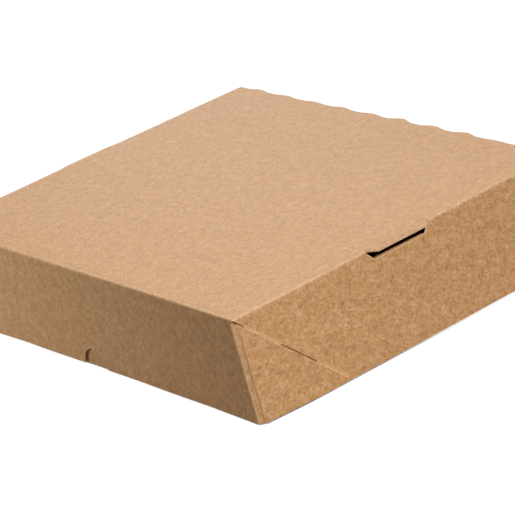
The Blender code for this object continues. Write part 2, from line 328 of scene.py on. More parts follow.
# %% [markdown]
# ## Bare fibre
# Where the rule cuts the board, its unpressed middle shows: dull, and paler than the paper. A pressed crease
# or a bruised rim is broken skin, paler still. Both are one small noise between two tones, on the piece's own
# place, since a cut has no place on the flat sheet.

# %% The cut edge and the pressed crease
BARE_SHINE = 0.1


def fibre_finish(name, spots, dark, pale, roughness):
    """Bare fibre between two tones, with its spots counted per metre."""
    finish = new_finish(name)
    place = add_node(finish, "TexCoord").outputs["Object"]
    noise = add_node(finish, "TexNoise", Vector=place, Scale=spots, Detail=3)
    tone = colour_by(finish, noise.outputs["Fac"], tuple(zip(USUAL, (dark, pale))))
    fill_in(finish, finish.node_tree.nodes["Principled BSDF"], Base_Color=tone, Roughness=roughness,
            Specular_IOR_Level=BARE_SHINE)
    print(name, len(finish.node_tree.nodes), "nodes")
    return finish


board_edge = fibre_finish("board_edge", 2500, (0.53, 0.32, 0.17), (0.72, 0.47, 0.28), 0.85)
crease_mark = fibre_finish("crease_mark", 900, (0.60, 0.335, 0.155), (0.84, 0.53, 0.285), 0.8)

# %% [markdown]
# ## Working in edit mode from code
# Everything here is done with the same operators that a hand would use. A few helpers keep it short: they
# open a piece in edit mode, select by place, and close it again. Nothing may stay selected from before,
# because an operator acts on all that is selected. Places are compared with a little slack, NEAR or HAIR.

# %% Open, choose, close
NEAR = 0.02 * MM
HAIR = 0.01 * MM


def deselect():
    if bpy.context.object and bpy.context.object.mode != "OBJECT":
        bpy.ops.object.mode_set(mode="OBJECT")
    bpy.ops.object.select_all(action="DESELECT")


def activate(piece):
    deselect()
    piece.select_set(True)
    bpy.context.view_layer.objects.active = piece


def open_mesh(piece):
    activate(piece)
    bpy.ops.object.mode_set(mode="EDIT")
    bpy.ops.mesh.select_all(action="DESELECT")


def close_mesh():
    bpy.ops.object.mode_set(mode="OBJECT")


def choose(piece, kind, test):
    """Selects the vertices, edges or faces that pass the test, and nothing else."""
    bpy.context.tool_settings.mesh_select_mode = (kind == "VERT", kind == "EDGE", kind == "FACE")
    bpy.ops.mesh.select_all(action="DESELECT")
    mesh = bmesh.from_edit_mesh(piece.data)
    groups = {"VERT": mesh.verts, "EDGE": mesh.edges, "FACE": mesh.faces}
    chosen = [item for item in groups[kind] if test(item)]
    for item in chosen:
        item.select_set(True)
    bmesh.update_edit_mesh(piece.data)
    return len(chosen)


def rim_edge(test):
    """A test for open edges whose two ends both pass."""
    return lambda edge: edge.is_boundary and all(test(v.co) for v in edge.verts)


def close_to(a, b):
    return abs(a - b) < NEAR


# %% [markdown]
# ## A panel and its flaps
# The board's outer face is laid out as a flat grid, one cell every few millimetres so that it can bend
# later. A flap is then folded from an open edge: the edge is spun a quarter turn round the crease, just as
# the board turns round it, and extruded straight on in a few rows. Spinning keeps the fold truly round.

# %% Lay a panel, fold an edge, run a flap on
def lay_panel(name, low, high, z):
    deselect()
    across = round((high[0] - low[0]) / CELL)
    along = round((high[1] - low[1]) / CELL)
    bpy.ops.mesh.primitive_grid_add(x_subdivisions=across, y_subdivisions=along, size=1)
    panel = bpy.context.object
    panel.name = name
    panel.data.name = name
    panel.scale = (high[0] - low[0], high[1] - low[1], 1)
    panel.location = ((low[0] + high[0]) / 2, (low[1] + high[1]) / 2, z)
    bpy.ops.object.transform_apply(location=True, rotation=False, scale=True)
    return panel


def score(point, normal):
    """Adds a line of edges right across the sheet, where a cut or a fold will end."""
    bpy.ops.mesh.select_all(action="SELECT")
    bpy.ops.mesh.bisect(plane_co=point, plane_no=normal)


def fold(piece, test, centre, axis, angle=math.pi / 2):
    choose(piece, "EDGE", rim_edge(test))
    bpy.ops.mesh.spin(steps=FOLD_STEPS, angle=angle, center=centre, axis=axis)


def run_on(piece, test, step, rows):
    for row in range(rows):
        choose(piece, "EDGE", rim_edge(lambda co, row=row: test(co - Vector(step) * row)))
        bpy.ops.mesh.extrude_region_move(TRANSFORM_OT_translate={"value": step})


# %% [markdown]
# ## Glued corners
# Each corner is a lap and a web. The lap carries on from the front wall, turns the corner and lies behind
# the side wall. The web is the end of the side wall, creased at 45 degrees so that the box folds flat, and
# glued over the lap. The outer fold closes over the corner point like a little ball. Places are given as
# u along the side wall and v away from the panel, so one description serves every corner.

# %% One corner's own measure
LAP_REACH = 30 * MM
LAP_MARGIN = 0.6 * MM
LAP_ROWS = 6
STRIP = 2.7 * MM
START = 0.1 * MM
BEHIND = -BOARD - GLUE
SLANT = math.atan2(STRIP, CREASE_SET + BEHIND)
WALL_END = CREASE_SET + CORNER_FOLD * math.tan(SLANT / 2)
JUST_OFF = 0.001 * MM


class Corner:
    def __init__(self, side, half, wall_y, inward, panel_z, away, height):
        self.side, self.half = side, half
        self.wall_y, self.inward = wall_y, inward
        self.panel_z, self.away, self.height = panel_z, away, height

    def at(self, u, v, h=0.0):
        """The point u along the side wall, v from the panel, h outside the wall's face."""
        x = self.side * (self.half + h)
        return Vector((x, self.wall_y + self.inward * u, self.panel_z + self.away * v))

    def measure(self, co):
        """The u, v and h of a point."""
        return (
            (co.y - self.wall_y) * self.inward,
            (co.z - self.panel_z) * self.away,
            co.x * self.side - self.half,
        )

    def turn(self, axis):
        """An axis for spin, turned over where the corner is a mirror image."""
        sign = -self.side * self.inward * self.away
        return tuple(sign * c for c in axis)


# %% [markdown]
# ## Folding a corner
# The little ball is the side fold's open end, spun on round the corner point. The front wall is then cut
# back, and its end turns twice: past the slanted strip, which shows beside the web, and on behind the web.
# The lap's upper edge runs at 45 degrees, just clear of the web's crease.

# %% Close the point, turn the lap
def close_point(piece, corner):
    """Spins the side fold's open end round the corner point, to meet the front fold."""
    def open_end(co):
        u, v, h = corner.measure(co)
        return close_to(u, FOLD) and h > -FOLD - HAIR and v < FOLD + START + HAIR
    fold(piece, open_end, corner.at(FOLD, 0, -FOLD), corner.turn((0, 0, -corner.away)))


def turn_lap(piece, corner):
    """Cuts the wall back, turns its end past the slanted strip and runs the lap on behind the web."""
    end = -WALL_END

    def beyond(face):
        u, v, h = corner.measure(face.calc_center_median())
        return close_to(u, 0) and h > end and v > FOLD + START
    choose(piece, "FACE", beyond)
    bpy.ops.mesh.delete(type="FACE")

    def wall_end(co):
        u, v, h = corner.measure(co)
        return close_to(u, 0) and close_to(h, end) and v > FOLD + START - HAIR
    fold(piece, wall_end, corner.at(CORNER_FOLD, 0, end), corner.turn((0, 0, corner.away)), SLANT)
    turned_h = end + CORNER_FOLD * math.sin(SLANT)
    turned_u = CORNER_FOLD * (1 - math.cos(SLANT))

    def strip_end(co):
        u, v, h = corner.measure(co)
        return close_to(u, turned_u) and close_to(h, turned_h)
    run_on(piece, strip_end, corner.at(STRIP, 0, BEHIND) - corner.at(turned_u, 0, turned_h), 1)
    step = (LAP_REACH - STRIP) / LAP_ROWS

    def lap_end(co):
        u, v, h = corner.measure(co)
        return close_to(u, STRIP) and close_to(h, BEHIND)
    run_on(piece, lap_end, (0, corner.inward * step, 0), LAP_ROWS)

    def lap_face(face):
        u, v, h = corner.measure(face.calc_center_median())
        return end < h < -BOARD and v > FOLD + START and JUST_OFF < u < LAP_REACH
    choose(piece, "FACE", lap_face)
    normal = corner.at(1, -1) - corner.at(0, 0)
    bpy.ops.mesh.bisect(plane_co=corner.at(0, LAP_MARGIN), plane_no=(0, normal.y, normal.z), clear_outer=True)


# %% [markdown]
# ## The sheet's own layout
# Paper has its grain in the flat sheet, and it keeps it when the sheet is folded. So each face remembers
# where it lay before folding, as a UV map in metres, and the paper's fibres run on over every fold.

# %% Remember the flat layout
FACING = 0.7
TILTED = 0.05


def turned(across, down):
    """How far along the sheet a point lies, from the start of a fold of one radius."""
    if across <= 0 and down <= 0:
        return across
    angle = math.atan2(max(across, 0), FOLD - down) if down < FOLD else math.pi / 2
    return FOLD * angle + max(down - FOLD, 0)


def lay_out(piece, half, front, rear, panel_z, away):
    """Writes the flat place of every corner of every face in a UV map named sheet."""
    mesh = piece.data
    layout = mesh.uv_layers[0] if mesh.uv_layers else mesh.uv_layers.new()
    layout.name = "sheet"
    for face in mesh.polygons:
        middle = face.center
        side = math.copysign(1, middle.x)
        lap = abs(middle.x) < half - BOARD and abs(face.normal.x) > FACING
        on_side = abs(face.normal.x) > TILTED and abs(face.normal.y) < TILTED and not lap
        end = math.copysign(1, middle.y - (front + rear) / 2)
        edge = rear if end > 0 else front
        for loop in face.loop_indices:
            co = mesh.vertices[mesh.loops[loop].vertex_index].co
            down = (co.z - panel_z) * away
            out_x = abs(co.x) - (half - FOLD)
            out_y = (co.y - edge) * end + FOLD
            if on_side:
                place = (side * (half - FOLD + turned(out_x, down)), co.y)
            elif lap:
                place = (side * (half + abs(co.y - edge)), edge + end * (turned(FOLD, down) - FOLD))
            elif abs(face.normal.y) > TILTED:
                place = (co.x, edge - end * FOLD + end * turned(out_y, down))
            else:
                place = (co.x, co.y)
            layout.data[loop].uv = place


# %% [markdown]
# ## Thickness
# The sheet gets its half millimetre inwards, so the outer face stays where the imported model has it. The
# inner face and the cut edge take the board's other two finishes.

# %% Thicken a sheet
def thicken(piece):
    activate(piece)
    bpy.ops.object.modifier_add(type="SOLIDIFY")
    wall = piece.modifiers[-1]
    wall.thickness = BOARD
    wall.offset = -1
    wall.use_even_offset = True
    wall.use_quality_normals = True
    wall.material_offset = 1
    wall.material_offset_rim = 2
    bpy.ops.object.modifier_apply(modifier=wall.name)
    print(piece.name, len(piece.data.polygons), "faces, across", round(piece.dimensions.x, 5))


# %% [markdown]
# ## Dies
# A carton is cut with steel rules bent to the outline. Each cut here is a die too: its outline is drawn by
# extruding one point from place to place, filled, and extruded to a block. All the dies of a piece are
# pressed at once with one exact Boolean, and the faces that a die leaves take its finish.

# %% Draw a die and press the dies
def draw_die(name, outline, place, low, high, finish, lean=0.0):
    """Draws outline's points (a, b) at place(a, b, low) and runs the block on to high, leaning along a."""
    deselect()
    bpy.ops.mesh.primitive_plane_add(size=2 * MM)
    block = bpy.context.object
    block.name = name
    block.data.materials.append(finish)
    bpy.ops.object.mode_set(mode="EDIT")
    bpy.context.tool_settings.mesh_select_mode = (True, False, False)
    bpy.ops.mesh.select_all(action="SELECT")
    bpy.ops.mesh.merge(type="CENTER")
    points = [Vector(place(a, b, low)) for a, b in outline]
    bpy.ops.transform.translate(value=points[0])
    for start, end in zip(points, points[1:]):
        bpy.ops.mesh.extrude_region_move(TRANSFORM_OT_translate={"value": end - start})
    choose(block, "VERT", lambda vertex: len(vertex.link_edges) == 1)
    bpy.ops.mesh.edge_face_add()
    bpy.ops.mesh.select_all(action="SELECT")
    bpy.ops.mesh.edge_face_add()
    reach = Vector(place(lean, 0, high)) - Vector(place(0, 0, low))
    bpy.ops.mesh.extrude_region_move(TRANSFORM_OT_translate={"value": reach})
    bpy.ops.mesh.select_all(action="SELECT")
    bpy.ops.mesh.normals_make_consistent(inside=False)
    bpy.ops.object.mode_set(mode="OBJECT")
    return block


def press(piece, dies):
    plate = bpy.data.collections.new("dies")
    for block in dies:
        plate.objects.link(block)
    activate(piece)
    bpy.ops.object.modifier_add(type="BOOLEAN")
    rule = piece.modifiers[-1]
    rule.operation = "DIFFERENCE"
    rule.solver = "EXACT"
    rule.operand_type = "COLLECTION"
    rule.collection = plate
    rule.material_mode = "TRANSFER"
    bpy.ops.object.modifier_apply(modifier=rule.name)
    for block in dies:
        bpy.data.objects.remove(block, do_unlink=True)
    bpy.data.collections.remove(plate)
    print(piece.name, "cut by", len(dies), "dies, now", len(piece.data.polygons), "faces")


# %% [markdown]
# ## What is cut at a glued corner
# The web's end is cut back a little from the corner, so a strip of the lap shows beside it. The slanted
# fold across the web is half crease and half slit: the slit goes right through, and the creases before and
# after it are shallow channels with soft sides. These outlines are in millimetres.

# %% Dies of one corner
WEB_START = ((0.75, 0.9), (4.9, 5.25), (4.5, 6.5), (2.5, 8.7), (2.3, 16.0))
WEB_END = 2.5
WEB_HEIGHT = 53.5 * MM
WEB_LEAN = 0.9 * MM
WEB_OVER = 1.5 * MM
SLIT = (21.6, 37.0)
SLIT_WIDTH = 0.4 * MM
CREASES = ((5.6, 21.3), (38.6, 51.9))
CREASE = ((-0.75, 0.5), (-0.75, 0.02), (-0.7, -0.04), (-0.3, -0.05), (0, -0.32),
          (0.3, -0.05), (0.7, -0.04), (0.75, 0.02), (0.75, 0.5))
DIAGONAL = math.sqrt(0.5)


def corner_dies(corner):
    scale = corner.height / WEB_HEIGHT
    under, outside = -BOARD - GLUE / 2, 1 * MM
    past_mouth = corner.height + 2 * MM
    line = [(-WEB_OVER, WEB_START[0][1] * MM)] + [(u * MM, v * MM) for u, v in WEB_START]
    line += [(WEB_END * MM, past_mouth), (-WEB_OVER, past_mouth)]
    dies = [draw_die("web_end", line, corner.at, under, outside, board_edge, WEB_LEAN)]

    def along(start):
        def place(across, out, run):
            u = start + (run - across) * DIAGONAL
            v = start + (run + across) * DIAGONAL
            return corner.at(u, v, out)
        return place
    half = SLIT_WIDTH / 2
    bar = ((-half, under), (half, under), (half, outside), (-half, outside))
    channel = [(across * MM, out * MM) for across, out in CREASE]
    cuts = [("slit", SLIT, bar, board_edge)]
    cuts += [("crease", ends, channel, crease_mark) for ends in CREASES]
    for name, ends, profile, finish in cuts:
        start, end = [distance * scale * MM for distance in ends]
        dies.append(draw_die(name, profile, along(start), 0, (end - start) / DIAGONAL, finish))
    return dies

# %% [markdown]
# ## The lid's sheet
# The top panel stops one fold radius short of the outside at the front and sides, and runs a little past
# the hinge, where the wave will be cut. The front flap is folded first, then the two side flaps, which end
# just short of the hinge.

# %% Helpers for both sheets
ROWS = 9


def flap_rows(piece, on_wall, panel_z, away, mouth):
    """Runs a flap on from its fold: one short row, then longer ones to the mouth."""
    start = panel_z + away * FOLD
    run_on(piece, lambda co: on_wall(co) and close_to(co.z, start), (0, 0, away * START), 1)
    step = (abs(mouth - start) - START) / ROWS
    run_on(piece, lambda co: on_wall(co) and close_to(co.z, start + away * START), (0, 0, away * step), ROWS)


def fold_sides(piece, half, panel_z, away, mouth, until):
    """Folds both side flaps, up to a place along the sheet."""
    for side in (-1, 1):
        edge_x = side * (half - FOLD)
        fold(piece, lambda co: close_to(co.x, edge_x) and close_to(co.z, panel_z) and co.y < until,
             (edge_x, 0, panel_z + away * FOLD), (0, away * side, 0))
        flap_rows(piece, lambda co: close_to(co.x, side * half), panel_z, away, mouth)


def close_sheet(piece, corners):
    for corner in corners:
        close_point(piece, corner)
        turn_lap(piece, corner)
    bpy.ops.mesh.select_all(action="SELECT")
    bpy.ops.mesh.remove_doubles(threshold=NEAR)
    bpy.ops.mesh.normals_make_consistent(inside=False)
    close_mesh()


def dress(piece, outer):
    for finish in (outer, kraft_inner, board_edge, crease_mark):
        piece.data.materials.append(finish)


# %% Lid: top panel and three flaps
FLAP_END = REAR - 1.5 * MM
PANEL_SPARE = 4 * MM
lid = lay_panel("lid_sheet", (FOLD - HALF, FRONT + FOLD), (HALF - FOLD, REAR + PANEL_SPARE), TOP)
lid_corners = [Corner(side, HALF, FRONT, 1, TOP, -1, TOP - MOUTH) for side in (-1, 1)]
open_mesh(lid)
score((0, FLAP_END, 0), (0, 1, 0))
for side in (-1, 1):
    score((side * (HALF - WALL_END), 0, 0), (1, 0, 0))
fold(lid, lambda co: close_to(co.y, FRONT + FOLD), (0, FRONT + FOLD, TOP - FOLD), (-1, 0, 0))
flap_rows(lid, lambda co: close_to(co.y, FRONT), TOP, -1, MOUTH)
fold_sides(lid, HALF, TOP, -1, MOUTH, FLAP_END + FOLD)
close_sheet(lid, lid_corners)
lay_out(lid, HALF, FRONT, NO_REAR_FOLD, TOP, -1)
dress(lid, lid_outer)
thicken(lid)

# %% [markdown]
# ## The lid's cuts
# The hinge line is cut as a wave: its crests stay in the plane of the top and stand out behind the fold.
# The front flap has a half-moon for the thumb. Each side flap has a vent: its tab stays level with the top
# while the flap folds down, which leaves a hole under it. The flaps' rear ends slope to clear the hinge.
# Notch and vents have a bruised rim, half a millimetre wide. No crest of the real wave is quite like the
# next, so each has its own rise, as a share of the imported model's, and some are shifted.

# %% Sizes of the lid's cuts
CREST_PITCH = 26.5 * MM
CREST_WIDTH = 22.5 * MM
CREST_FIRST = 19 * MM
CREST_RISES = (0.8, 0.62, 0.52, 0.74, 0.68, 1.3, 1.0, 1.05, 0.25, 0.8)
CREST_SHIFTS = (0, 0, 0.8 * MM, 0, 0, -1.8 * MM, 0, 0, 0, 0)
NOTCH_WIDTH = 22 * MM
NOTCH_HEIGHT = 9.6 * MM
NOTCH_LEFT = 3.8 * MM
TAB_TIP = 30 * MM
VENT_DROP = 4.3 * MM
FOLD_MARGIN = 0.3 * MM
TAB_START = HALF - FOLD - FOLD_MARGIN
HOLE_TOP = TOP - FOLD - FOLD_MARGIN
FLAP_SLOPE = 6 * MM
RIM_WIDTH = 0.55 * MM
RIM_DEPTH = 0.05 * MM
OVER = 3 * MM


# %% The wave and the half-moon
def wave_line(space, steps=20):
    """One soft crest after another: how far the line stands out, all along the hinge."""
    centres = [CREST_FIRST - HALF + index * CREST_PITCH + shift for index, shift in enumerate(CREST_SHIFTS)]
    line = []
    for centre, rise in zip(centres, CREST_RISES):
        for step in range(steps + 1):
            share = step / steps
            out = (rise * CREST + space) * math.sin(math.pi * share) ** 2
            line.append((centre + (CREST_WIDTH + 2 * space) * (share - 0.5), out))
    return line


def half_moon(width, height, steps=32):
    half = width / 2
    radius = (half * half + height * height) / (2 * height)
    spread = math.asin(half / radius)
    points = []
    for step in range(steps + 1):
        angle = spread * (2 * step / steps - 1)
        points.append((radius * math.sin(angle), radius * (math.cos(angle) - math.cos(spread))))
    return points


# %% Dies of the lid
def wave_die():
    side, behind = HALF + OVER, REAR + 2 * OVER
    wave = [(-side, behind), (-side, FLAP_END), (-TAB_START, FLAP_END), (-TAB_START, REAR)]
    wave += [(x, REAR + out) for x, out in wave_line(0)]
    wave += [(TAB_START, REAR), (TAB_START, FLAP_END), (side, FLAP_END), (side, behind)]
    return draw_die("wave", wave, lambda x, y, z: (x, y, z), MOUTH - OVER, TOP + OVER, board_edge)


def thumb_die(name, wider, depth, finish):
    half = NOTCH_WIDTH / 2 + wider
    moon = [(x, MOUTH + up) for x, up in half_moon(2 * half, NOTCH_HEIGHT + wider)]
    moon += [(half, MOUTH - OVER), (-half, MOUTH - OVER)]
    return draw_die(name, moon, lambda x, z, y: (x - NOTCH_LEFT, y, z), FRONT - OVER, FRONT + depth, finish)


def vent_die(name, side, outline, inside, finish):
    return draw_die(name, outline, lambda y, z, x: (side * x, TAB_MIDDLE + y, z), inside, HALF + OVER, finish)


def lid_dies():
    dies = [wave_die(), thumb_die("thumb", 0, 2 * BOARD, board_edge),
            thumb_die("thumb_rim", RIM_WIDTH, RIM_DEPTH, crease_mark)]
    under_top, under_mouth = TOP - BOARD - FOLD, MOUTH - OVER
    slope = ((FLAP_END, under_top), (FLAP_END - FLAP_SLOPE, under_mouth),
             (FLAP_END + OVER, under_mouth), (FLAP_END + OVER, under_top))
    dies.append(draw_die("slope", slope, lambda y, z, x: (x, y, z), -HALF - OVER, HALF + OVER, board_edge))
    root, tip = TAB_ROOT / 2, TAB_TIP / 2
    low, above = HOLE_TOP - VENT_DROP, TOP + OVER
    vent = ((-root, above), (-root, HOLE_TOP), (-tip, low), (tip, low), (root, HOLE_TOP), (root, above))
    rim_root, rim_tip, rim_low = root + RIM_WIDTH, tip + RIM_WIDTH, low - RIM_WIDTH
    rim = ((-rim_root, HOLE_TOP), (-rim_tip, rim_low), (rim_tip, rim_low), (rim_root, HOLE_TOP))
    for side in (-1, 1):
        dies.append(vent_die("vent", side, vent, TAB_START, board_edge))
        dies.append(vent_die("vent_rim", side, rim, HALF - RIM_DEPTH, crease_mark))
    return dies


# %% Cut the lid
dies = lid_dies()
for corner in lid_corners:
    dies += corner_dies(corner)
press(lid, dies)

# %% [markdown]
# ## The vent tabs
# A tab is the part of the flap that stayed level when the flap was folded. The top panel's cut edge is
# extruded outwards, straight through the fold and then in short steps that narrow towards the tip, and
# droops a little. The tip's corners are rounded, as a steel rule cuts them. The new faces then get the
# board's three finishes, and their place on the flat sheet is simply where they lie.

# %% Raise the tabs
TAB_DROOP = {1: math.radians(6), -1: math.radians(16)}
TAB_STEPS = 6
TAB_ROUND = 0.6 * MM
ROUND_SHARES = (0.3, 0.6, 0.85, 1.0)


def tab_outline():
    """How far out each step of a tab ends, and half its width there."""
    straight = HALF - TAB_START
    taper = TAB_REACH - TAB_ROUND
    outline = []
    for step in range(TAB_STEPS + 1):
        share = step / TAB_STEPS
        outline.append((straight + taper * share, (TAB_ROOT - (TAB_ROOT - TAB_TIP) * share) / 2))
    for share in ROUND_SHARES:
        angle = share * math.pi / 2
        narrower = TAB_ROUND * (1 - math.cos(angle))
        outline.append((straight + taper + TAB_ROUND * math.sin(angle), TAB_TIP / 2 - narrower))
    return outline


def raise_tab(side):
    root = side * TAB_START

    def cut_edge(face):
        middle = face.calc_center_median()
        in_width = abs(middle.y - TAB_MIDDLE) < TAB_ROOT / 2
        return close_to(middle.x, root) and in_width and abs(face.normal.x) > FACING
    open_mesh(lid)
    count = choose(lid, "FACE", cut_edge)
    drop = math.tan(TAB_DROOP[side])
    out_now, half_now = 0.0, TAB_ROOT / 2
    for out, half in tab_outline():
        step = out - out_now
        bpy.ops.mesh.extrude_region_move(TRANSFORM_OT_translate={"value": (side * step, 0, -drop * step)})
        bpy.ops.transform.resize(value=(1, half / half_now, 1), center_override=(root, TAB_MIDDLE, TOP))
        out_now, half_now = out, half
    close_mesh()
    return count


def dress_tabs():
    """Gives the tabs' faces their finish and their place on the flat sheet."""
    layout = lid.data.uv_layers["sheet"]
    for face in lid.data.polygons:
        x, y, z = face.center
        if abs(x) > TAB_START + HAIR and abs(y - TAB_MIDDLE) < TAB_ROOT / 2 and z > HOLE_TOP - VENT_DROP / 2:
            face.material_index = 0 if face.normal.z > FACING else 1 if face.normal.z < -FACING else 2
            for loop in face.loop_indices:
                layout.data[loop].uv = lid.data.vertices[lid.data.loops[loop].vertex_index].co.xy


for side in (-1, 1):
    print("tab", side, "raised from", raise_tab(side), "faces")
dress_tabs()

# %% [markdown]
# ## Let the lid settle
# No folded box is a perfect block. The lid's top is a little crowned, the mouth of the front flap swings
# out to the left, and the right flap leans out near the front corner. A lattice round the lid is a cage
# whose points can be pulled a few millimetres, and the sheet follows them smoothly. Each row of CROWN is one
# line of the cage from the front to the hinge, the first at the left. The pulls at the flaps' mouths are x,
# y and z: the front one's from left to right between the corners, the side ones' from the front to the
# hinge. All are in millimetres.

# %% How far the cage is pulled
CAGE_X, CAGE_Y = 5, 9
CROWN = (
    (0.2, 0.5, 0.55, 0.65, 0.7, 0.35, 0.25, 0.2, 0.05),
    (0.0, 0.3, 0.4, 0.5, 0.5, 0.4, 0.3, 0.15, 0.0),
    (0.1, 0.3, 0.4, 0.5, 0.5, 0.45, 0.3, 0.15, 0.0),
    (0.3, 0.35, 0.4, 0.5, 0.55, 0.5, 0.4, 0.2, 0.0),
    (0.1, 0.1, 0.3, 0.55, 0.75, 0.85, 1.15, 1.15, 0.05),
)
FRONT_MOUTH = ((0, -2.1, 0.6), (0, -1.45, 0.6), (0, -0.9, 0.95))
RIGHT_MOUTH = ((0.4, 0, -0.2), (1.6, 0, -0.4), (1.4, 0, -0.4), (1.1, 0, -0.4), (1.0, 0, -0.3),
               (0.6, 0, -0.2), (0.2, 0, -0.1), (0, 0, 0), (0, 0, 0))
LEFT_MOUTH = ((0, -4.0, 0.3), (-0.6, 0, -0.2), (-0.6, 0, 0), (-0.4, 0, 0), (-0.3, 0, 0),
              (-0.2, 0, 0), (0, 0, 0), (0, 0, 0), (0, 0, 0))


def lid_pull(level, across, along):
    """How far one point of the lid's cage is pulled, in millimetres."""
    if level == 1:
        return (0, 0, CROWN[across][along])
    if across == CAGE_X - 1:
        return RIGHT_MOUTH[along]
    if across == 0:
        return LEFT_MOUTH[along]
    return FRONT_MOUTH[across - 1] if along == 0 else (0, 0, 0)


# %% A cage round a piece
def settle(piece, size, pull):
    deselect()
    bpy.ops.object.add(type="LATTICE", location=(0, 0, size[2] / 2))
    cage = bpy.context.object
    cage.scale = size
    points = cage.data
    points.points_u, points.points_v, points.points_w = CAGE_X, CAGE_Y, 2
    points.interpolation_type_u = points.interpolation_type_v = "KEY_CARDINAL"
    points.interpolation_type_w = "KEY_LINEAR"
    for index, point in enumerate(points.points):
        level, rest = divmod(index, CAGE_X * CAGE_Y)
        along, across = divmod(rest, CAGE_X)
        shift = pull(level, across, along)
        point.co_deform = [c + d * MM / s for c, d, s in zip(point.co_deform, shift, size)]
    activate(piece)
    bpy.ops.object.modifier_add(type="LATTICE")
    piece.modifiers[-1].object = cage
    bpy.ops.object.modifier_apply(modifier=piece.modifiers[-1].name)
    bpy.data.objects.remove(cage, do_unlink=True)
    print(piece.name, "settled, now", [round(c, 5) for c in piece.dimensions])


settle(lid, (2 * HALF, 2 * REAR, TOP), lid_pull)

# %% [markdown]
# ## The tray's sheet
# The tray is made like the lid, the other way up: its outer face is underneath and outside. It has four
# walls and four glued corners, and the same folds and laps serve it.

# %% Tray: base and four walls
tray = lay_panel("tray_sheet", (FOLD - TRAY_HALF, TRAY_FRONT + FOLD), (TRAY_HALF - FOLD, REAR - FOLD), 0)
tray_corners = [Corner(side, TRAY_HALF, wall_y, inward, 0, 1, RIM)
                for side in (-1, 1) for wall_y, inward in ((TRAY_FRONT, 1), (REAR, -1))]
open_mesh(tray)
for side in (-1, 1):
    score((side * (TRAY_HALF - WALL_END), 0, 0), (1, 0, 0))
for edge_y, wall_y, turn in ((TRAY_FRONT + FOLD, TRAY_FRONT, 1), (REAR - FOLD, REAR, -1)):
    fold(tray, lambda co: close_to(co.y, edge_y) and close_to(co.z, 0), (0, edge_y, FOLD), (turn, 0, 0))
    flap_rows(tray, lambda co: close_to(co.y, wall_y), 0, 1, RIM)
fold_sides(tray, TRAY_HALF, 0, 1, RIM, REAR)
close_sheet(tray, tray_corners)
lay_out(tray, TRAY_HALF, TRAY_FRONT, REAR, 0, 1)
dress(tray, tray_outer)
thicken(tray)

# %% [markdown]
# ## The tray's cuts
# The rims of the side walls dip behind the vents, so that steam gets out, and the rear wall has a dip under
# each crest of the lid. The tray settles too: its front wall bulges at the foot, behind the flap that has
# swung out, and its side walls lean inwards behind the vents.

# %% Cut the tray
RECESS_WIDTH = 46 * MM
RECESS_DEPTH = 4.8 * MM
RECESS_SLOPE = 4 * MM
DIP_SPACE = 0.4 * MM


def tray_dies():
    wide = RECESS_WIDTH / 2
    narrow = wide - RECESS_SLOPE
    low, above = RIM - RECESS_DEPTH, RIM + OVER
    recess = ((-wide, above), (-wide, RIM), (-narrow, low), (narrow, low), (wide, RIM), (wide, above))
    dies = [draw_die("recess", recess, lambda y, z, x: (x, TAB_MIDDLE + y, z), -HALF, HALF, board_edge)]
    line = [(x, RIM - drop) for x, drop in wave_line(DIP_SPACE)]
    steps = len(line) // len(CREST_RISES)
    for first in range(0, len(line), steps):
        dip = line[first:first + steps]
        dip += [(dip[-1][0], above), (dip[0][0], above)]
        dies.append(draw_die("dip", dip, lambda x, z, y: (x, y, z), REAR - OVER, REAR + OVER, board_edge))
    return dies


TRAY_FOOT = (0, -2.4, -1.1, -1.25, 0)
TRAY_LEAN = (0, 0, 0, 1.5, 1.5, 0.8, 0, 0, 0)


def tray_pull(level, across, along):
    """The tray's front wall bulges at its foot, and its side walls lean inwards behind the vents."""
    if level == 0:
        return (0, TRAY_FOOT[across] if along == 0 else 0, 0)
    if across in (0, CAGE_X - 1):
        return (TRAY_LEAN[along] * (1 if across == 0 else -1), 0, 0)
    return (0, 0, 0)


dies = tray_dies()
for corner in tray_corners:
    dies += corner_dies(corner)
press(tray, dies)
settle(tray, (2 * TRAY_HALF, 2 * REAR, RIM), tray_pull)

# %% [markdown]
# ## Finish the two pieces
# Only the real folds are shaded smooth, by the angle between faces, so that a cut edge stays crisp. Each
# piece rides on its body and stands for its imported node.

# %% Shade, ride, replace
SMOOTH_ANGLE = math.radians(35)

for piece, node, slot in ((lid, "lid", "lid_board"), (tray, "tray", "tray_board")):
    activate(piece)
    bpy.ops.object.shade_smooth_by_angle(angle=SMOOTH_ANGLE)
    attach(piece, node)
    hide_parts(node)
    print(piece.name, "rides and replaces", node, "with", len(piece.data.vertices), "points")

# %% [markdown]
# ## Floor
# The photograph has a bare white ground. The floor is a pale diffuse paper to the light, and glows white to
# the camera and to mirrors, so it renders white without more light on the box. Only a breath of shadow and
# the dark line where the box meets the floor are left: an occlusion node finds that line, and its tilted
# normal makes it darker beside the right wall than before the front one, as in the photograph.

# %% Floor
CONTACT_REACH = 1.7 * MM
CONTACT_TILT = (-0.70, -0.56, 0.44)
CONTACT_STOPS = ((0.58, (0.07, 0.058, 0.046)), (0.75, (0.98, 0.98, 0.98)))
CONTACT_SAMPLES = 16
BREATH_TONE, FLOOR_TONE = (0.12, 0.12, 0.12, 1), (0.38, 0.355, 0.28, 1)
FLOOR_SIZE, FLOOR_DROP = 8, 0.1 * MM
SEEN_RAYS = ("Is Camera Ray", "Is Glossy Ray", "Is Transmission Ray")


def join_shaders(owner, kind, first, second, **inputs):
    """Mixes or adds two shaders, which are a node's last two inputs."""
    node = add_node(owner, kind, **inputs)
    feed(owner, first.outputs[0], node.inputs[-2])
    feed(owner, second.outputs[0], node.inputs[-1])
    return node


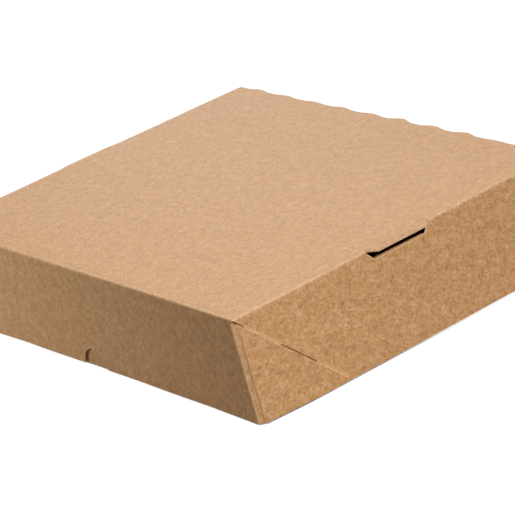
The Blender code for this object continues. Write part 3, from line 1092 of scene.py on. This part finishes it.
def white_to_camera(ground):
    ground.node_tree.nodes.clear()
    paths = add_node(ground, "LightPath")
    seen = combine(ground, "MAXIMUM", [paths.outputs[kind] for kind in SEEN_RAYS])
    tilt = add_node(ground, "CombineXYZ", X=CONTACT_TILT[0], Y=CONTACT_TILT[1], Z=CONTACT_TILT[2])
    contact = add_node(ground, "AmbientOcclusion", Distance=CONTACT_REACH, Normal=tilt.outputs[0])
    contact.samples = CONTACT_SAMPLES
    # Painted contact shadow: the glow's tone turns dark where the occlusion node finds the box close by.
    tone = colour_by(ground, contact.outputs["AO"], CONTACT_STOPS)
    glow = add_node(ground, "Emission", Color=tone, Strength=1)
    faint = add_node(ground, "BsdfDiffuse", Color=BREATH_TONE)
    paper = add_node(ground, "BsdfDiffuse", Color=FLOOR_TONE)
    white = join_shaders(ground, "AddShader", faint, glow)
    shown = join_shaders(ground, "MixShader", paper, white, Fac=seen)
    add_node(ground, "OutputMaterial", Surface=shown.outputs[0])


deselect()
bpy.ops.mesh.primitive_plane_add(size=FLOOR_SIZE, location=(0, 0, -FLOOR_DROP))
floor = bpy.context.object
floor.name = "floor"
pale_floor = new_finish("pale_floor")
white_to_camera(pale_floor)
floor.data.materials.append(pale_floor)
print("floor with", len(pale_floor.node_tree.nodes), "nodes")

# %% [markdown]
# ## World
# A studio's walls give a weak, even light from all round. The camera sees the same walls as plain white.

# %% World
SKY = 0.055
world = bpy.data.worlds.new("studio")
bpy.context.scene.world = world
world.use_nodes = True
world.node_tree.nodes.clear()
dim = add_node(world, "Background", Color=(1, 1, 1, 1), Strength=SKY)
white = add_node(world, "Background", Color=(1, 1, 1, 1), Strength=1)
seen = add_node(world, "LightPath").outputs["Is Camera Ray"]
walls = join_shaders(world, "MixShader", dim, white, Fac=seen)
add_node(world, "OutputWorld", Surface=walls.outputs[0])
print("world with", len(world.node_tree.nodes), "nodes")

# %% [markdown]
# ## Lamps
# Four lamps were matched to the photograph's tones, wall by wall: a soft box on the right lights the right
# wall, one above lights the top, and a wide one from far behind on the left grazes the top and lifts its far
# end. A spot from the front left has soft, faded edges and brightens only that end of the front wall.

# %% Lamps
def hold(name, lamp, place, target):
    """Hangs a lamp at place and turns it to target."""
    holder = bpy.data.objects.new(name, lamp)
    bpy.context.scene.collection.objects.link(holder)
    holder.location = place
    holder.rotation_euler = (Vector(target) - Vector(place)).to_track_quat("-Z", "Y").to_euler()


def soft_box(name, place, target, size, power, colour, spread=180):
    """A square area light that looks from place at target."""
    lamp = bpy.data.lights.new(name, "AREA")
    lamp.shape = "SQUARE"
    lamp.size = size
    lamp.energy = power
    lamp.color = colour
    lamp.spread = math.radians(spread)
    hold(name, lamp, place, target)


soft_box("side", (1.57, -0.07, 1.0), (0.1, -0.2, 0.03), 0.6, 4.15, (0.975, 1.0, 1.05), spread=70)
soft_box("top", (0.1, -0.1, 2.1), (0.0, -0.15, 0.03), 0.8, 3.65, (1.0, 0.99, 0.93), spread=80)
soft_box("back", (-1.6, 0.95, 0.75), (0, 0, 0.054), 0.8, 17.8, (1.0, 0.99, 0.95))
fill = bpy.data.lights.new("fill", "SPOT")
fill.energy = 36
fill.color = (0.985, 1.0, 0.95)
fill.shadow_soft_size = 0.15
fill.spot_size = math.radians(24)
fill.spot_blend = 1
hold("fill", fill, (-0.8, -0.95, 0.1), (-0.15, -0.1, 0.03))
print("lamps", [lamp.name for lamp in bpy.data.lights])

# %% [markdown]
# ## Camera
# The photograph looks down at the box from its front right corner, a long lens away, and is turned a little
# clockwise. The place comes from a fit of the box's own corners, kept as azimuth, elevation, roll, a
# distance and two shifts. The distance and the shifts are counted in box lengths, from the near corner.

# %% Camera
AZIMUTH = math.radians(60.528)
ELEVATION = math.radians(20.278)
ROLL = math.radians(15.416)
LENGTH = 0.280
DISTANCE = 5.1388
SHIFT_RIGHT = -0.04222
SHIFT_DOWN = 0.10230
FOCAL_LENGTH = 222.03

level = math.cos(ELEVATION)
forward = Vector((level * math.cos(AZIMUTH), level * math.sin(AZIMUTH), -math.sin(ELEVATION)))
right = Vector((math.sin(AZIMUTH), -math.cos(AZIMUTH), 0))
down = forward.cross(right)
rolled_right = right * math.cos(ROLL) + down * math.sin(ROLL)
rolled_down = down * math.cos(ROLL) - right * math.sin(ROLL)
eye = -SHIFT_RIGHT * rolled_right - SHIFT_DOWN * rolled_down - DISTANCE * forward


def to_part(direction):
    """From the fit's axes, along the side wall and along the front wall, to the part's own."""
    return Vector((-direction.y, direction.x, direction.z))


lens = bpy.data.cameras.new("camera")
lens.sensor_width = 36
lens.lens = FOCAL_LENGTH
lens.clip_end = 50
camera = bpy.data.objects.new("camera", lens)
bpy.context.scene.collection.objects.link(camera)
corner_point = Vector((HALF, FRONT, TOP))
axes = [to_part(rolled_right), -to_part(rolled_down), -to_part(forward)]
stand = Matrix.Translation(corner_point + to_part(eye) * LENGTH)
camera.matrix_world = stand @ Matrix(axes).transposed().to_4x4()
bpy.context.scene.camera = camera
bpy.context.scene.view_settings.view_transform = "Standard"
print("camera at", [round(c, 4) for c in camera.matrix_world.translation])
